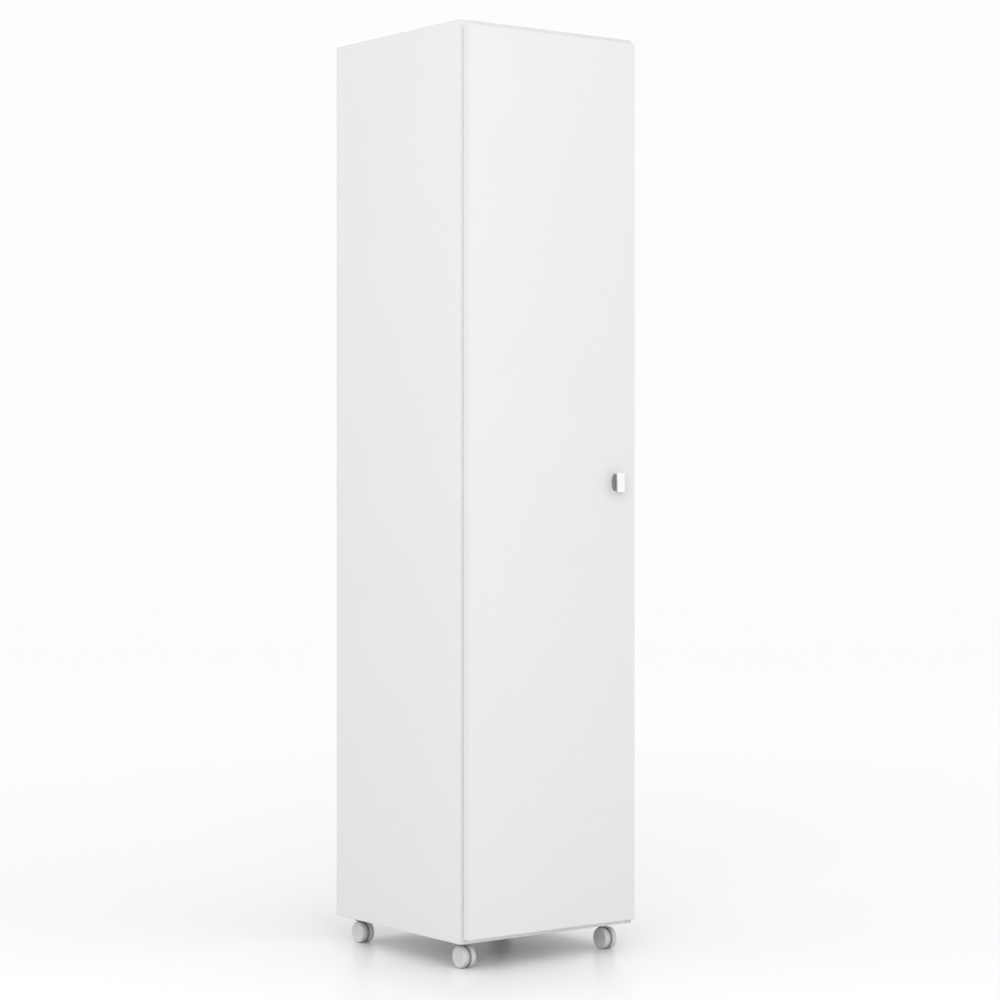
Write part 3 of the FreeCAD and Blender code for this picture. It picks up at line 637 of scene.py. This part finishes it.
# Door pads: low silicone domes on a short skirt; each ring is its width and its rise
pad = {"radius": 0.004, "x": 0.189, "back": -0.1875, "heights": (0.118, 1.652), "skirt": 0.0006,
       "rings": ((0.0004, 0.0005), (0.0007, 0.0003), (0.0009, 0.0002), (0.001, 0.0001))}
pads = []
for z in pad["heights"]:
    piece = startPiece("pad", bpy.ops.mesh.primitive_circle_add, vertices=48,
                       radius=pad["radius"], fill_type="NGON",
                       location=(pad["x"], pad["back"], z), rotation=(-math.pi / 2, 0, 0))
    editWhole(piece)
    extrudeBy(0, pad["skirt"], 0)
    for thickness, rise in pad["rings"]:
        bpy.ops.mesh.inset(thickness=thickness, depth=rise)
    bpy.ops.object.mode_set(mode="OBJECT")
    pads.append(piece)
piece = joinPieces("doorPads", pads)
finishPiece(piece, finishes["silicone"], "door", "pad_rubber", "door_pads")
print("door pads modelled")


# Pressed and moulded parts: the solid's own shape, with its sharp edges eased. Each line gives the
# places, the body, the finish, the slot and the width of the eased edge.
easedParts = {
    # The castor housing's darker grey nylon is painted shade between the wheels
    "castor_housing_": (castorPlaces, "castor_%s", "nylonPaintedShade", "castor_plastic", 0.0004),
    "castor_plate_": (castorPlaces, "carcass", "zinc", "castor_zinc", 0.0003),
    "hinge_arm_": (hingePlaces, "carcass", "nickel", "hinge_nickel", 0.0002),
    "hinge_plate_": (hingePlaces, "carcass", "nickel", "hinge_nickel", 0.0002),
    "hinge_cup_": (hingePlaces, "door", "nickel", "hinge_nickel", 0.0002),
    "hinge_outer_link_": (hingePlaces, "outer_links", "nickel", "hinge_nickel", 0.00015),
    "hinge_inner_link_": (hingePlaces, "inner_links", "nickel", "hinge_nickel", 0.00015)}


def easedCopy(node, width):
    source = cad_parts[node]
    piece = bpy.data.objects.new("eased_" + node, source.data.copy())
    piece.data.transform(source.matrix_world)
    piece.data.materials.clear()
    bpy.context.collection.objects.link(piece)
    editWhole(piece)
    bpy.ops.mesh.remove_doubles(threshold=meshing["mergeCopy"])
    bpy.ops.mesh.dissolve_limited(angle_limit=math.radians(meshing["flatUnder"]))
    bpy.ops.object.mode_set(mode="OBJECT")
    easeEdges(piece, width)
    return piece


for prefix, (places, body, finish, slot, width) in easedParts.items():
    for place in places:
        node = prefix + place
        piece = easedCopy(node, width)
        finishPiece(piece, finishes[finish], body.replace("%s", place), slot, node)
print("pressed and moulded parts eased")


# Studio: a pale floor that runs to a white backdrop, a white surround that is dimmer near the
# horizon, and one soft lamp. The floor throws back less light than it shows, so that the cupboard
# stays under white, and it pales with distance, so that the lamp's pool of light doesn't show.
studio = {"floorNear": "#F2F2F2", "floorFar": "#FCFCFC", "floorBounce": "#CFCFCF",
          "floorRoughness": 0.25, "floorGloss": 0.07, "nearRadius": 0.4, "farRadius": 4.0,
          "floorHalf": 12.74, "floorHeight": -0.0002, "floorTurn": -36.84, "white": "#FFFFFF",
          "horizon": 0.72, "zenith": 1.15, "backdrop": 0.98, "lampPlace": (-2.25, -2.6, 2.2),
          "lampAim": (0, 0, 1.0), "lampSize": 2.4, "lampWatts": 39.0}


def seenDirectly(tree):  # 1 where the camera, a reflection or a clear piece shows the studio itself
    path = addNode(tree, "ShaderNodeLightPath").outputs
    shown = path["Is Camera Ray"]
    for ray in ("Is Glossy Ray", "Is Transmission Ray"):
        shown = addNode(tree, "ShaderNodeMath", {"operation": "MAXIMUM"},
                        {0: shown, 1: path[ray]}).outputs[0]
    return shown


floor = startPiece("studioFloor", bpy.ops.mesh.primitive_plane_add, size=2 * studio["floorHalf"],
                   location=(0, 0, studio["floorHeight"]),
                   rotation=(0, 0, math.radians(studio["floorTurn"])))
material, tree, shader, coords = startMaterial("studioFloor", {
    "Roughness": studio["floorRoughness"], "Specular IOR Level": studio["floorGloss"]})
distance = addNode(tree, "ShaderNodeVectorMath", {"operation": "LENGTH"}, {0: coords["Object"]})
pale = addNode(tree, "ShaderNodeMapRange", {
    "From Min": studio["nearRadius"], "From Max": studio["farRadius"]},
    {"Value": distance.outputs["Value"]})
seen = addNode(tree, "ShaderNodeMix", {
    "data_type": "RGBA", mixFirst: linear(studio["floorNear"]),
    mixSecond: linear(studio["floorFar"])}, {mixAmount: pale.outputs[0]})
tone = addNode(tree, "ShaderNodeMix", {
    "data_type": "RGBA", mixFirst: linear(studio["floorBounce"])},
    {mixAmount: seenDirectly(tree), mixSecond: seen.outputs[mixResult]})
tree.links.new(tone.outputs[mixResult], shader.inputs["Base Color"])
floor.data.materials.append(material)

world = bpy.data.worlds.new("studioSurround")
bpy.context.scene.world = world
world.use_nodes = True
tree = world.node_tree
white = linear(studio["white"])
upward = addNode(tree, "ShaderNodeTexCoord").outputs["Generated"]
height = addNode(tree, "ShaderNodeSeparateXYZ", links={0: upward}).outputs["Z"]
strength = addNode(tree, "ShaderNodeMapRange", {
    "From Min": 0.0, "From Max": 1.0, "To Min": studio["horizon"], "To Max": studio["zenith"]},
    {"Value": height})
lighting = addNode(tree, "ShaderNodeBackground", {"Color": white},
                   {"Strength": strength.outputs[0]})
backdrop = addNode(tree, "ShaderNodeBackground", {"Color": white, "Strength": studio["backdrop"]})
both = addNode(tree, "ShaderNodeMixShader", links={
    0: seenDirectly(tree), 1: lighting.outputs[0], 2: backdrop.outputs[0]})
tree.links.new(both.outputs[0], tree.nodes["World Output"].inputs["Surface"])

lamp = bpy.data.lights.new("keyLamp", "AREA")
lamp.shape = "SQUARE"
lamp.size = studio["lampSize"]
lamp.energy = studio["lampWatts"]
keyLamp = bpy.data.objects.new("keyLamp", lamp)
keyLamp.location = studio["lampPlace"]
aim = Vector(studio["lampAim"]) - keyLamp.location
keyLamp.rotation_euler = aim.to_track_quat("-Z", "Y").to_euler()
bpy.context.collection.objects.link(keyLamp)
print("studio set")


# Camera: level, in front and to the left
view = {"place": (-3.0159, -4.0637, 0.899), "turn": -36.84, "focalPixels": 2657.3,
        "horizonPixel": 474.1, "imagePixels": 1000, "sensor": 36.0}
camera = bpy.data.objects.new("camera", bpy.data.cameras.new("camera"))
bpy.context.collection.objects.link(camera)
camera.location = view["place"]
camera.rotation_euler = (math.pi / 2, 0, math.radians(view["turn"]))
camera.data.sensor_width = view["sensor"]
camera.data.lens = view["focalPixels"] / view["imagePixels"] * view["sensor"]
camera.data.shift_y = view["horizonPixel"] / view["imagePixels"] - 0.5
bpy.context.scene.camera = camera
bpy.context.scene.view_settings.view_transform = "Standard"
